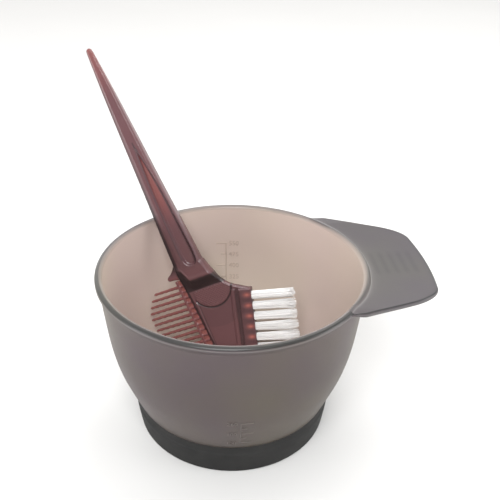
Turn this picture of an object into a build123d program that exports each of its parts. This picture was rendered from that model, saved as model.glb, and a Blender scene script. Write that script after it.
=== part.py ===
from build123d import *
from math import cos, radians, sin
import os

# Hair colour mixing bowl with its tint brush standing in it.
# Millimetres, +Z up. The origin is the centre of the base ring's bottom face, on the
# bowl's own axis. +X runs along the grip tab. The scale is on the +Y and -Y sides.
# The brush leans over the rim on the -X +Y side, with its head down in the bowl.

os.makedirs("parts", exist_ok=True)

# ---------------------------------------------------------------- driving dimensions
rim_radius = 68.0
bowl_height = 91.0

lip_width = 3.8
lip_skirt = 2.8          # from the bowl's top down to the lip's lower outside edge
lip_round = lip_width / 2

ring_height = 18.2
ring_shoulder_height = 13.3
ring_foot_radius = 50.4
ring_shoulder_radius = 52.1
ring_top_radius = 51.3
ring_inner_radius = 38.0
ring_pad = 3.5
ring_edge = 1.0

foot_radius = 47.2
foot_top_radius = 48.6
floor_top = 6.5
floor_radius = 31.0

tab_reach = 98.6
tab_thickness = 3.0
tab_root_angle = 53.0
tab_corner = (95.0, 31.9)
tab_corner_round = 11.0
dish_radius = 560.0
dish_depth = 2.0
dish_x = 66.0
dish_reach = 75.0
tab_drop = 8.0           # depth of the block that the tab is cut from
tab_step = 0.4           # the tab's highest edge stays this far below the lip's top

rib_count = 5
rib_pitch = 5.0
rib_length = 22.0
rib_width = 1.6
rib_height = 0.9
rib_start = 71.0

mark_height = 0.35
mark_width = 0.6
mark_length = 6.0
mark_root = 1.0          # how far the marks reach into the wall
inside_marks_start, inside_marks_pitch, inside_marks_count = 26.0, 7.0, 7
outside_marks_start, outside_marks_pitch, outside_marks_count = 24.0, 4.5, 5
marks_reach = 80.0

brush_lean = 56.5        # handle's rise above the horizontal
brush_heading = 135.5    # compass direction that the handle leans towards
brush_twist = -57.7      # turn about the handle's own length
neck_point = (-19.1, 33.6, 65.9)

# (distance up from the neck, half width, half depth) of the handle's sections
handle_sections = [
    (-2.0, 8.0, 4.2), (14.0, 7.9, 4.1), (50.0, 5.9, 3.6), (77.0, 4.7, 3.0),
    (94.0, 3.9, 2.6), (111.0, 3.0, 2.1), (131.5, 1.7, 1.3), (133.6, 0.8, 0.6),
]
handle_shift = -1.1      # the handle's middle line lies this far towards the comb
corner_share = 0.8
groove_start = 5.0
groove_point = 78.0
groove_half_width = 4.0
groove_shift = 1.0       # the groove lies this far towards the bristles
groove_floor = (3.2, 2.5)

plate_thickness = 4.0
head_length = 63.0
hump_thickness = 8.0
hump_taper = 25
# outlines in the brush's own plane, as (towards the bristles, up the handle)
hump_outline = [(-8.2, 12), (6.6, 12), (8.4, 3.2), (11.4, -4.2), (15.4, -11.2), (-7.9, -8.0)]
plate_shoulder = [(7.6, 6), (10.4, -3.7), (12.9, -9.0), (16.6, -13.2), (22.9, -17.6)]
plate_foot = [(13.4, -60.0), (10.5, -head_length), (-5.0, -head_length), (-7.0, -60.5)]
plate_comb_side = [(-7.6, -40.5), (-8.9, -3.0), (-8.8, 6)]
plate_foot_round = 1.0
pad_edge = [(17.0, -13.5), (-6.5, -7.0), (-6.5, -15.8)]
guard_outline = [(-8.0, 10.0), (-11.0, 6.2), (-15.6, 2.9), (-16.2, 1.6), (-12.0, 0.2), (-8.0, -1.2)]
pad_centre = (5.3, -9.9)
pad_radius = 12.1
pad_height = 0.5

block_thickness = 6.4
block_width = 9.0
block_length = 43.0
block_corner = (26.2, -19.5)
bristle_angle = 17.6     # turn of the bristle edge from the handle's length

comb_thickness = 2.4
comb_bar = (-12.6, -10.9)
comb_bar_top = -0.8
tooth_count = 16
tooth_pitch = 3.37
tooth_first = -4.6
tooth_width = 1.7
tooth_slant = 4.3
tooth_root = -7.4
tooth_reach = 34.9
tooth_flat = (-20.0, -38.0)
tooth_falloff = 0.0345

tuft_count = 7
tuft_pitch = 6.0
tuft_first = -4.3
tuft_radius = 2.1
tuft_tip_radius = 2.75
tuft_length = 24.0
hole_depth = 6.5
anchor_width = 2 * tuft_radius - 0.4
anchor_thickness = 0.5
anchor_depth = 2.6


# ---------------------------------------------------------------- bowl
# (radius, height) of the wall, from the ring's top up to the lip
outer_wall = [(51.8, 18.2), (56.1, 29.2), (60.2, 41.0), (63.1, 54.7), (65.1, 72.9), (66.3, 86.8)]
inner_wall = [
    (floor_radius, floor_top), (41.5, 10.0), (46.2, 17.5), (50.6, 25.0), (54.6, 33.5),
    (58.2, 44.0), (61.0, 57.0), (62.7, 72.9), (64.2, bowl_height - lip_round),
]
floor_direction = (1, 0)
lip_direction = (0.08, 1)
lip_centre = rim_radius - lip_round


def inner_profile(inset):
    """The cavity's wall line, moved inward by inset, from the floor up to the lip."""
    points = [(radius - inset, height) for radius, height in inner_wall]
    return Spline(*points, tangents=(floor_direction, lip_direction), tangent_scalars=(1, 1))


def outer_profile(inset):
    """The outside wall line, moved inward by inset, from the ring up to the lip."""
    points = [(radius - inset, height) for radius, height in outer_wall]
    return Spline(*points)


def wall_skin(profile, inset_from, inset_to):
    """A thin revolved skin between two offsets of a wall line, for raised marks."""
    with BuildPart() as skin:
        with BuildSketch(Plane.XZ):
            with BuildLine():
                near = profile(inset_from)
                far = profile(inset_to)
                Line(near @ 0, far @ 0)
                Line(near @ 1, far @ 1)
            make_face()
        revolve(axis=Axis.Z)
    return skin.part


def scale_pattern(heights, side, reach):
    """A vertical line with level ticks on one side of it, extruded from the middle plane."""
    with BuildPart() as pattern:
        with BuildSketch(Plane.XZ):
            middle = (heights[0] + heights[-1]) / 2
            with Locations((0, middle)):
                Rectangle(mark_width, heights[-1] - heights[0] + mark_width)
            for index, height in enumerate(heights):
                length = mark_length if index % 2 == 0 else mark_length / 2
                with Locations((side * length / 2, height)):
                    Rectangle(length, mark_width)
        extrude(amount=reach)
    return pattern.part


def dish_line(height):
    """An upward curving arc of the tab's dish, from its middle at this height."""
    points = []
    for reach in (0, dish_reach / 2, dish_reach):
        rise = dish_radius - (dish_radius**2 - reach**2) ** 0.5
        points.append((reach, height + rise))
    return ThreePointArc(*points)


inside_heights = [inside_marks_start + inside_marks_pitch * k for k in range(inside_marks_count)]
outside_heights = [outside_marks_start + outside_marks_pitch * k for k in range(outside_marks_count)]
inside_marks = wall_skin(inner_profile, mark_height, -mark_root) & scale_pattern(
    inside_heights, -1, -marks_reach)
outside_marks = wall_skin(outer_profile, mark_root, -mark_height) & scale_pattern(
    outside_heights, 1, marks_reach)

# the grip tab: a dished plate that springs from the lip
with BuildPart() as tab:
    with BuildSketch(Plane.XY.offset(bowl_height - tab_drop)):
        with BuildLine():
            root_x = rim_radius * cos(radians(tab_root_angle))
            root_y = rim_radius * sin(radians(tab_root_angle))
            mirrored_corner = (tab_corner[0], -tab_corner[1])
            Polyline(mirrored_corner, (root_x, -root_y), (root_x, root_y), tab_corner)
            ThreePointArc(tab_corner, (tab_reach, 0), mirrored_corner)
        make_face()
        fillet(vertices().filter_by_position(Axis.X, rim_radius, tab_reach), tab_corner_round)
    extrude(amount=tab_drop - tab_step)
    with Locations((0, 0, bowl_height)):
        Cylinder(lip_centre, 3 * tab_drop, mode=Mode.SUBTRACT)
    with BuildSketch(Plane((dish_x, 0, 0), x_dir=(1, 0, 0), z_dir=(0, -1, 0))):
        with BuildLine():
            upper = dish_line(bowl_height - dish_depth)
            lower = dish_line(bowl_height - dish_depth - tab_thickness)
            Line(upper @ 0, lower @ 0)
            Line(upper @ 1, lower @ 1)
        make_face()
    revolve(axis=Axis((dish_x, 0, 0), (0, 0, 1)), mode=Mode.INTERSECT)

with BuildPart() as bowl:
    with BuildSketch(Plane.XZ):
        with BuildLine():
            outside = outer_profile(0)
            inside = inner_profile(0)
            Polyline((0, floor_top), (0, ring_pad), (foot_radius, ring_pad),
                     (foot_top_radius, ring_height), outer_wall[0])
            Polyline(outside @ 1, (rim_radius, bowl_height - lip_skirt),
                     (rim_radius, bowl_height - lip_round))
            ThreePointArc((rim_radius, bowl_height - lip_round), (lip_centre, bowl_height), inside @ 1)
            Line(inside @ 0, (0, floor_top))
        make_face()
    revolve(axis=Axis.Z)
    add(tab.part)
    rib_plane = Plane.XY.offset(bowl_height - dish_depth - tab_thickness - rib_height)
    with BuildSketch(rib_plane):
        with Locations([(rib_start + rib_pitch * index, 0) for index in range(rib_count)]):
            SlotOverall(rib_length, rib_width, rotation=90)
    extrude(amount=2 * rib_height)
    add(outside_marks)
    add(inside_marks)

bowl.part.label = "bowl"
export_step(bowl.part, "parts/bowl.step")


# ---------------------------------------------------------------- base ring
with BuildPart() as base_ring:
    with BuildSketch(Plane.XZ):
        with BuildLine():
            Polyline((ring_inner_radius, 0), (ring_foot_radius, 0),
                     (ring_shoulder_radius, ring_shoulder_height), (ring_top_radius, ring_height),
                     (foot_top_radius, ring_height), (foot_radius, ring_pad),
                     (ring_inner_radius, ring_pad), close=True)
        make_face()
        shoulder_corner = vertices().sort_by(Axis.X)[-1:]
        foot_corner = vertices().filter_by_position(Axis.X, ring_foot_radius, ring_foot_radius)
        fillet(shoulder_corner + foot_corner, ring_edge)
    revolve(axis=Axis.Z)

base_ring.part.label = "base_ring"
export_step(base_ring.part, "parts/base_ring.step")


# ---------------------------------------------------------------- brush
# The brush's own plane: x towards the bristles, y up the handle, z out of its face.
lean = radians(brush_lean)
heading = radians(brush_heading)
handle_up = Vector(cos(lean) * cos(heading), cos(lean) * sin(heading), sin(lean))
upper_side = Vector(-sin(lean) * cos(heading), -sin(lean) * sin(heading), cos(lean))
face_out = upper_side.rotate(Axis((0, 0, 0), handle_up), brush_twist)
side = handle_up.cross(face_out)
brush = Plane(origin=neck_point, x_dir=side, z_dir=face_out)


def across_handle(distance):
    """A plane square to the handle, this far up from the neck."""
    return Plane(brush.from_local_coords((handle_shift, distance, 0)), x_dir=side, z_dir=handle_up)


def bristle_edge_plane():
    """Origin at the bristle edge's top corner, x out along the bristles, y up the edge."""
    turn = radians(bristle_angle)
    along_bristles = side * cos(turn) - handle_up * sin(turn)
    origin = brush.from_local_coords((block_corner[0], block_corner[1], 0))
    return Plane(origin, x_dir=along_bristles, z_dir=face_out)


def tuft_plane(index):
    """Origin at one tuft hole's mouth, z out along the tuft."""
    edge = bristle_edge_plane()
    mouth = edge.from_local_coords((0, tuft_first - tuft_pitch * index, 0))
    return Plane(mouth, x_dir=edge.y_dir, z_dir=edge.x_dir)


def tooth_tip(height):
    """How far out from the handle's middle line a tooth at this height reaches."""
    beyond = max(0.0, height - tooth_flat[0], tooth_flat[1] - height)
    return tooth_reach - tooth_falloff * beyond**2


with BuildPart() as brush_body:
    # handle
    for distance, half_width, half_depth in handle_sections:
        with BuildSketch(across_handle(distance)):
            RectangleRounded(2 * half_width, 2 * half_depth, corner_share * half_depth)
    loft()

    # hump where the handle drops to the plate, with a slanting lower end
    with BuildSketch(brush):
        with BuildLine():
            Polyline(*hump_outline, close=True)
        make_face()
    extrude(amount=hump_thickness / 2, both=True, taper=hump_taper)

    # plate
    with BuildSketch(brush.offset(-plate_thickness / 2)):
        with BuildLine():
            Spline(*plate_shoulder)
            Polyline(plate_shoulder[-1], block_corner, *plate_foot, *plate_comb_side,
                     plate_shoulder[0])
        make_face()
        fillet(vertices().group_by(Axis.Y)[0], plate_foot_round)
    extrude(amount=plate_thickness)

    # bristle block
    with BuildSketch(bristle_edge_plane().offset(-block_thickness / 2)):
        Rectangle(block_width, block_length, align=(Align.MAX, Align.MAX))
    extrude(amount=block_thickness)

    # thumb pad
    with BuildSketch(brush.offset(plate_thickness / 2)):
        with BuildLine():
            Polyline(*pad_edge)
            ThreePointArc(pad_edge[-1], (pad_centre[0], pad_centre[1] - pad_radius), pad_edge[0])
        make_face()
    extrude(amount=pad_height)

    # comb: bar, teeth that run in to the plate's edge, and the guard above the first tooth
    with BuildSketch(brush.offset(-comb_thickness / 2)):
        bar_length = tooth_pitch * tooth_count
        with Locations((comb_bar[0], comb_bar_top)):
            Rectangle(comb_bar[1] - comb_bar[0], bar_length, align=(Align.MIN, Align.MAX))
        for index in range(tooth_count):
            root_y = tooth_first - tooth_pitch * index
            length = tooth_tip(root_y) + tooth_root
            with Locations(Location((tooth_root, root_y), -tooth_slant)):
                with Locations((-length / 2, 0)):
                    SlotOverall(length, tooth_width)
        with BuildLine():
            Polyline(*guard_outline, close=True)
        make_face()
    extrude(amount=comb_thickness)

    # groove in the handle's face
    slope = (groove_floor[0] - groove_floor[1]) / (groove_point - groove_start)
    groove_origin = brush.from_local_coords((groove_shift, groove_start, groove_floor[0]))
    with BuildSketch(Plane(groove_origin, x_dir=side, z_dir=face_out + handle_up * slope)):
        with BuildLine():
            point = (0, groove_point - groove_start)
            left = (-groove_half_width, groove_half_width)
            right = (groove_half_width, groove_half_width)
            Line(point, left)
            ThreePointArc(left, (0, 0), right)
            Line(right, point)
        make_face()
    extrude(amount=hump_thickness, mode=Mode.SUBTRACT)

    # tuft holes
    with Locations([tuft_plane(index).location for index in range(tuft_count)]):
        Hole(tuft_radius, hole_depth)

brush_body.part.label = "brush_body"
export_step(brush_body.part, "parts/brush_body.step")


# ---------------------------------------------------------------- tufts and their anchors
def anchor_place(index):
    """Where one anchor sits, at the bottom of its hole."""
    return tuft_plane(index).offset(-hole_depth + anchor_depth / 2).location


with BuildPart() as tuft_anchors:
    with Locations([anchor_place(index) for index in range(tuft_count)]):
        Box(anchor_width, anchor_thickness, anchor_depth)

tuft_anchors.part.label = "tuft_anchors"
export_step(tuft_anchors.part, "parts/tuft_anchors.step")

for index in range(tuft_count):
    with BuildPart() as tuft:
        with BuildSketch(tuft_plane(index).offset(-hole_depth)):
            Circle(tuft_radius)
        extrude(amount=hole_depth)
        with BuildSketch(tuft_plane(index)):
            Circle(tuft_radius)
        with BuildSketch(tuft_plane(index).offset(tuft_length)):
            Circle(tuft_tip_radius)
        loft()
        with Locations(anchor_place(index)):
            Box(anchor_width, anchor_thickness, anchor_depth, mode=Mode.SUBTRACT)
    name = f"bristle_tuft_{index + 1}"
    tuft.part.label = name
    export_step(tuft.part, f"parts/{name}.step")
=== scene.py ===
import math
import random

import bmesh
import bpy
import numpy as np
from mathutils import Matrix, Vector


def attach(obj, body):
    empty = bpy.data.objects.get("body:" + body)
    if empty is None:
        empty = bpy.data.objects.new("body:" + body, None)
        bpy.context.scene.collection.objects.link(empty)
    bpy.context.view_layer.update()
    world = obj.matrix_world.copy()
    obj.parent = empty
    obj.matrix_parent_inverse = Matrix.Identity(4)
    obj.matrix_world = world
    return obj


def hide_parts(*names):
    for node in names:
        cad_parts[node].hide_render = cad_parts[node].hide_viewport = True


# A hair colour mixing bowl of smoky plastic on a rubber ring, with a tint brush in it.
# Sizes and places are in millimetres until a mesh is made, +Z up, +X along the grip tab.

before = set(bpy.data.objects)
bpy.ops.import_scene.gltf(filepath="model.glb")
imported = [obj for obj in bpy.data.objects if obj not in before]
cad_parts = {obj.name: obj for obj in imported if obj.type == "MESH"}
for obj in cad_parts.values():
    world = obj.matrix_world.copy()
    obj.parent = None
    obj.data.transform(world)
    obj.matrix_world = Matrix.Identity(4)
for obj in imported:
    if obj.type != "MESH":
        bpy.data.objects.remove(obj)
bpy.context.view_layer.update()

MM = 0.001
rng = random.Random(7)

# ---------------------------------------------------------------- bowl sizes
RIM_RADIUS = 68.0
BOWL_HEIGHT = 91.0
LIP_ROUND = 1.9
LIP_CENTRE = RIM_RADIUS - LIP_ROUND
LIP_LEVEL = BOWL_HEIGHT - LIP_ROUND
OUTER_WALL = [(51.8, 18.2), (56.1, 29.2), (60.2, 41.0), (63.1, 54.7), (65.1, 72.9), (66.2, 85.4)]
INNER_WALL = [(31.0, 6.5), (41.5, 10.0), (46.2, 17.5), (50.6, 25.0), (54.6, 33.5), (58.2, 44.0),
              (61.0, 57.0), (62.7, 72.9), (64.2, 89.1)]
FOOT_LINE = [(0, 3.5), (20, 3.5), (38, 3.5), (46.4, 3.5), (47.05, 3.75), (47.3, 4.4),
             (48.6, 18.05), (51.3, 18.1)]
FLOOR_LINE = [(22, 6.5), (12, 6.5), (4, 6.5), (0, 6.5)]
RING_LINE = [(38.0, 0.4), (38.4, 0.0), (48.9, 0.0), (49.9, 0.25), (50.4, 1.0), (50.9, 4.0), (51.6, 9.0),
             (52.0, 12.6), (51.95, 13.2), (51.6, 13.7), (51.45, 15.2), (51.35, 17.4), (51.1, 17.95),
             (50.6, 18.2), (48.7, 18.2), (47.3, 3.6), (38.2, 3.5)]

# ---------------------------------------------------------------- tab sizes
TAB_ROOT = (40.92, 54.31)
TAB_CORNER = (95.0, 31.9)
NEAR_ROOT, NEAR_CORNER = (47.0, 48.7), (95.0, 33.0)  # the side at -Y slants a little less
TAB_REACH = 98.5
TAB_THICKNESS = 2.5
END_SKEW = math.radians(2.2)  # the tab's end is not quite square to its length
TAB_TOP_LIMIT = BOWL_HEIGHT - 0.4
TAB_CORNER_BLEND = 12.0
TAB_EDGE_ROUND = 0.9
DISH_RADIUS = 560.0
DISH_X = 66.0
DISH_LOW = BOWL_HEIGHT - 2.0
RIB_START, RIB_PITCH, RIB_COUNT = 71.0, 5.0, 5
RIB_LENGTH, RIB_WIDTH, RIB_HEIGHT = 22.0, 1.6, 0.9
TAB_CLEAR = 3.0              # tab's painted shade and highlights start where it stands this far out of the rim

# ---------------------------------------------------------------- scale sizes
MARK_WIDTH, MARK_RAISE, MARK_SINK, MARK_LENGTH = 0.6, 0.3, 0.06, 6.0
MARK_STEP = 1.5              # spacing of a tall mark's points up the wall
INSIDE_HEIGHTS = [26 + 7 * k for k in range(7)]
OUTSIDE_HEIGHTS = [24 + 4.5 * k for k in range(5)]
# round numbers of millilitres, near what the bowl holds at each height (the lowest one reads low)
INSIDE_NUMBERS = [100, 175, 250, 325, 400, 475, 550]
OUTSIDE_NUMBERS = [100, None, 180, None, 260]
NUMBER_SIZE = {"inside": 4.0, "outside": 3.4}
NUMBER_GAP, NUMBER_MIDDLE = 1.6, 0.36   # gap beside the middle line, and middle as a share of size
# shares of the lighter inner skin, of painted shade and of painted highlight on each scale
SCALE_LOOK = {"inside": (1.0, 0.16, 0.0), "outside": (0.15, 0.0, 0.22)}   # inner, dark, pale

# ---------------------------------------------------------------- brush place and sizes
BRUSH_LEAN = 56.5
BRUSH_HEADING = 135.5
BRUSH_TWIST = -57.7
NECK_POINT = (-19.1, 33.6, 65.9)
BRUSH_PITCH = 0.3            # spacing of the moulding's surface grid
ON_EDGE = 0.08               # a point this little outside an outline still counts as on it
HANDLE_SECTIONS = [(-2.0, 8.0, 4.2), (14.0, 7.9, 4.1), (50.0, 5.9, 3.6), (77.0, 4.7, 3.0),
                   (94.0, 3.9, 2.6), (111.0, 3.0, 2.1), (131.0, 1.6, 1.3), (133.2, 0.8, 0.7)]
HANDLE_SHIFT = -1.1          # the handle's middle line lies this far towards the comb
HANDLE_FOOT, HANDLE_END, HANDLE_TIP_ROUND = -2.0, 133.1, 1.6
# width as a share of the half width, and drop as a share of the depth, of the face's two bevels
COMB_SIDE_BEVEL, TUFT_SIDE_BEVEL = (0.56, 0.40), (0.16, 0.20)
HUMP = [(-8.2, 12), (6.6, 12), (6.9, 5.0), (8.2, 0.6), (9.8, -3.9), (12.0, -7.8), (15.0, -11.4),
        (-7.9, -5.0)]
PLATE_SHOULDER = [(7.4, 6), (8.6, 1.0), (10.3, -3.8), (12.8, -9.0), (16.4, -13.1), (22.8, -17.4)]
PLATE_REST = [(26.2, -19.5), (13.4, -60.0), (10.5, -63.0), (-5.0, -63.0), (-7.0, -60.5),
              (-7.6, -40.5), (-8.9, -3.0), (-8.8, 6)]
GUARD = [(-8.0, 10.0), (-9.4, 8.4), (-11.0, 6.2), (-13.0, 4.4), (-15.6, 2.9), (-16.2, 1.8),
         (-15.4, 0.6), (-12.0, 0.3), (-8.0, -1.2)]
HUMP_ROUND, PLATE_ROUND, GUARD_ROUND = 2.0, 1.6, 0.8
PLATE_DEPTH, BLOCK_DEPTH, COMB_DEPTH = 2.0, 3.2, 1.2      # half thicknesses
LEAST_DEPTH = 0.12
PLATE_EDGE = [(-60, -7.0), (-40.5, -7.6), (-3, -8.9)]     # comb side, as (up the handle, across)
PLATE_BEVEL_WIDTH, PLATE_BEVEL_DROP, PLATE_FOOT = 1.7, 0.75, -60
BORDER = [(-60, -6.1), (-38.5, -6.5), (-17.5, -5.8)]      # the raised line beside the comb
BORDER_WIDTH, BORDER_RAISE = 0.45, 0.40
SLOPE_TOP = [(-9, 6.0), (-5.6, 4.0), (-4.6, 1.4), (-3.2, -2.2), (0.5, -2.6), (12, -3.0), (18, -3.4)]
SLOPE_FOOT = [(-9, -9.0), (-6.8, -9.2), (-2.5, -9.5), (8.7, -9.9), (14.7, -10.4), (18, -11.0)]
RIDGE_RAISE, RIDGE_WIDTH = 0.20, 0.9
EDGE_SHARE, EDGE_LEAST, EDGE_MOST = 0.40, 0.25, 1.2       # edge rounding, as a share of thickness
BLOCK_CORNER = (26.2, -19.5)
BLOCK_ANGLE = 17.6
BLOCK_LENGTH, BLOCK_WIDTH, BLOCK_ROUND = 43.0, 11.9, 0.55
CHANNEL_START, CHANNEL_END = 6.9, 9.1                     # in from the bristle edge
BACK_RIB_MIDDLE, BACK_RIB_HALF, BACK_RIB_RAISE = 10.3, 1.25, 0.75
PAD_CENTRE, PAD_RADIUS, PAD_SIDE = (5.3, -9.9), 12.1, -5.4
PAD_RAISE, PAD_LINE_WIDTH, PAD_LINE_DEPTH = 0.15, 0.42, 0.22
STIPPLE_TURN, STIPPLE_SLANT = 3.6, 0.4                    # radians of the pad's dots per millimetre
STIPPLE_RAISE = 0.16
COMB_BAR = (-12.6, -10.9, -0.8, 53.9)
TOOTH_COUNT, TOOTH_PITCH, TOOTH_FIRST, TOOTH_SLANT = 16, 3.37, -4.6, 4.3
TOOTH_ROOT, TOOTH_REACH = -7.4, 34.9
LONGEST_TEETH, TOOTH_SHORTENING = (-38.0, -20.0), 0.0345  # teeth beyond these places are shorter
TOOTH_RADIUS, TOOTH_THINNING, TOOTH_FLATTENING = 0.95, 0.3, 0.35
COMB_ROUND = 0.5
WEB_THICKNESS = 0.5          # thin plastic between the teeth's roots and the plate
GROOVE = [(-0.1, 78.0), (-1.0, 63.0), (-1.7, 48.0), (-2.2, 25.0), (-2.2, 11.0), (-1.4, 6.4),
          (1.8, 4.4), (4.9, 5.8), (5.9, 10.0), (5.3, 25.0), (4.0, 48.0), (2.2, 63.0)]
GROOVE_SHARE, GROOVE_DEEPEST, GROOVE_BANK = 0.40, 1.5, 1.3
GROOVE_WALL = [(5, 3.6), (11, 4.2), (25, 3.7), (48, 2.5), (63, 1.3), (78, -0.2)]  # bristle side
TUFT_COUNT, TUFT_PITCH, TUFT_FIRST = 7, 6.0, -4.3
# where and how wide the painted glow of light round each tuft is, on the bristle block
GLOW_FIRST, GLOW_INWARD, GLOW_LONG, GLOW_WIDE = 3.3, 2.3, 2.1, 1.25
TUFT_RADIUS, TUFT_TIP_RADIUS, TUFT_LENGTH = 2.35, 2.75, 24.0
TUFT_ROOT, TUFT_FILL = 5.5, 0.93   # depth in the block, and share of the hole that is filled
HAIRS_PER_TUFT, HAIR_RADIUS, HAIR_SIDES, HAIR_RINGS = 240, 0.13, 5, 7
HAIR_UNEVEN, HAIR_CROWN, HAIR_TAPER = 4.8, 0.8, 0.35
HAIR_STRAY, HAIR_BEND = 0.16, 2.0
GOLDEN_TURN = 2.39996              # radians between neighbours of an even spiral filling


# ---------------------------------------------------------------- mesh helpers
def new_object(name, verts, faces):
    """A smooth shaded mesh object from points in millimetres."""
    mesh = bpy.data.meshes.new(name)
    mesh.from_pydata((np.asarray(verts, float) * MM).tolist(), [], faces)
    mesh.validate()
    mesh.shade_smooth()
    obj = bpy.data.objects.new(name, mesh)
    bpy.context.scene.collection.objects.link(obj)
    return obj


def outward(obj):
    """Turns the faces of closed meshes outward."""
    bm = bmesh.new()
    bm.from_mesh(obj.data)
    bmesh.ops.recalc_face_normals(bm, faces=bm.faces)
    bm.to_mesh(obj.data)
    bm.free()
    return obj


def keep_creases(obj, degrees):
    """Leaves edges sharper than this angle crisp."""
    obj.data.set_sharp_from_angle(angle=math.radians(degrees))
    return obj


def give_attribute(obj, name, values):
    """Stores one number for each point, for the material to read."""
    attribute = obj.data.attributes.new(name, "FLOAT", "POINT")
    attribute.data.foreach_set("value", np.asarray(values, np.float32))


def resample(line, count):
    """The same line as count points evenly spaced along it."""
    line = np.array(line, float)
    run = np.concatenate([[0], np.cumsum(np.linalg.norm(np.diff(line, axis=0), axis=1))])
    want = np.linspace(0, run[-1], count)
    return np.stack([np.interp(want, run, line[:, k]) for k in range(line.shape[1])], 1)


def smooth_line(points, count):
    """Points evenly spaced on a Catmull-Rom curve through the given ones."""
    p = np.array(points, float)
    p = np.vstack([2 * p[0] - p[1], p, 2 * p[-1] - p[-2]])
    pieces = []
    for k in range(1, len(p) - 2):
        t = np.linspace(0, 1, 24)[:, None]
        a, b, c, d = p[k - 1], p[k], p[k + 1], p[k + 2]
        pieces.append(0.5 * (2 * b + (c - a) * t + (2 * a - 5 * b + 4 * c - d) * t**2
                             + (3 * b - a - 3 * c + d) * t**3))
    return resample(np.vstack(pieces), count)


def arc(centre, radius, start, end, count):
    """Points on an arc, angles in degrees."""
    angles = np.radians(np.linspace(start, end, count))
    return np.stack([centre[0] + radius * np.cos(angles), centre[1] + radius * np.sin(angles)], 1)


def soft_min(a, b, k):
    """The smaller of two values, with their crossing rounded over a width of k."""
    h = min(1.0, max(0.0, 0.5 + 0.5 * (b - a) / k))
    return b + (a - b) * h - k * h * (1 - h)


def smoothstep(t):
    """0 up to 0, 1 from 1 on, and smooth between."""
    t = np.clip(t, 0, 1)
    return t * t * (3 - 2 * t)


def rise(value, start, end):
    """0 up to start, 1 from end on, and smooth between; end may be the lower of the two."""
    return smoothstep((value - start) / (end - start))


def bell(distance, width):
    """A smooth bump, 1 where the distance is 0 and gone at about twice the width."""
    return np.exp(-(distance / width) ** 2)


def height_on(line, place):
    """The second number of a line's points, where the first has this value."""
    places, heights = zip(*line)
    return np.interp(place, places, heights)


# ---------------------------------------------------------------- bowl
WALL_ROWS = 38
FINE_TURN, COARSE_TURN, FINE_SECTOR = 0.4, 1.25, 60        # degrees
INNER_LINE = smooth_line(INNER_WALL, 46)
OUTER_LINE = smooth_line(OUTER_WALL, WALL_ROWS)
BEAD = [(66.2, 85.4), (66.4, 86.5), (66.9, 87.1), (67.6, 87.6), (67.95, 88.3)]
ROOT_ROWS, FLAT_ROWS, EDGE_ROWS, STEP_ROWS, LIP_ROWS = 6, 26, 10, 4, 22


def tab_edge(angle):
    """Distance from the axis to the tab's outline at this angle, or the rim's radius."""
    c, s = math.cos(angle), abs(math.sin(angle))
    end_c, end_s = math.cos(angle - END_SKEW), abs(math.sin(angle - END_SKEW))
    root, corner = (TAB_ROOT, TAB_CORNER) if angle >= 0 else (NEAR_ROOT, NEAR_CORNER)
    run = Vector((corner[0] - root[0], corner[1] - root[1])).normalized()
    normal = Vector((-run.y, run.x))
    if c <= normal.x:
        return RIM_RADIUS
    side_line = normal.dot(Vector(root)) / (normal.x * c + normal.y * s)
    bow = TAB_REACH - TAB_CORNER[0]
    end_radius = (TAB_CORNER[1] ** 2 + bow**2) / (2 * bow)
    centre = TAB_REACH - end_radius
    end_arc = centre * end_c + math.sqrt(end_radius**2 - (centre * end_s) ** 2)
    return max(RIM_RADIUS, soft_min(side_line, end_arc, TAB_CORNER_BLEND))


def dish_height(radius, angle):
    """The height of the tab's dished top."""
    d2 = (radius * math.cos(angle) - DISH_X) ** 2 + (radius * math.sin(angle)) ** 2
    return min(TAB_TOP_LIMIT, DISH_LOW + DISH_RADIUS - math.sqrt(DISH_RADIUS**2 - d2))


def plain_lip():
    """The lip's section away from the tab, in the same rows as tab_lip."""
    outer = arc((LIP_CENTRE, LIP_LEVEL), LIP_ROUND, -12, 50, FLAT_ROWS * 2 + EDGE_ROWS + STEP_ROWS)
    over = arc((LIP_CENTRE, LIP_LEVEL), LIP_ROUND, 52, 180, LIP_ROWS)
    return np.vstack([resample(BEAD, ROOT_ROWS), outer, over])


def tab_lip(angle, edge):
    """The section through the tab: under it, round its edge, back over it and over the lip."""
    base = dish_height(RIM_RADIUS + 1, angle)
    rise = math.degrees(math.asin(min(0.97, (base + 0.25 - LIP_LEVEL) / LIP_ROUND)))
    over = arc((LIP_CENTRE, LIP_LEVEL), LIP_ROUND, rise, 180, LIP_ROWS)
    step_x = over[0][0]
    flat_end = edge - TAB_EDGE_ROUND
    radii = np.linspace(step_x + 0.9, flat_end, FLAT_ROWS)
    top = np.array([(r, dish_height(r, angle)) for r in radii])
    under = top - [0, TAB_THICKNESS]
    end_top = top[-1][1]
    edge_line = resample(np.vstack([
        arc((flat_end, end_top - TAB_THICKNESS + TAB_EDGE_ROUND), TAB_EDGE_ROUND, -80, 0, 6),
        arc((flat_end, end_top - TAB_EDGE_ROUND), TAB_EDGE_ROUND, 0, 80, 6)]), EDGE_ROWS)
    root = resample([(66.1, under[0][1] - 2.4), (66.3, under[0][1] - 0.9), (67.0, under[0][1] - 0.15),
                     (step_x + 0.3, under[0][1])], ROOT_ROWS)
    step = resample([(step_x + 0.6, base + 0.02), (step_x + 0.2, base + 0.1)], STEP_ROWS)
    return np.vstack([root, under, edge_line, top[::-1], step, over])


def brim_section(angle):
    """The lip's section at this angle, melting into the tab's section where the tab starts."""
    edge = tab_edge(angle)
    share = float(smoothstep((edge - RIM_RADIUS - 1.0) / 4.5))
    if share == 0:
        return plain_lip()
    return plain_lip() * (1 - share) + tab_lip(angle, edge) * share


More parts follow.
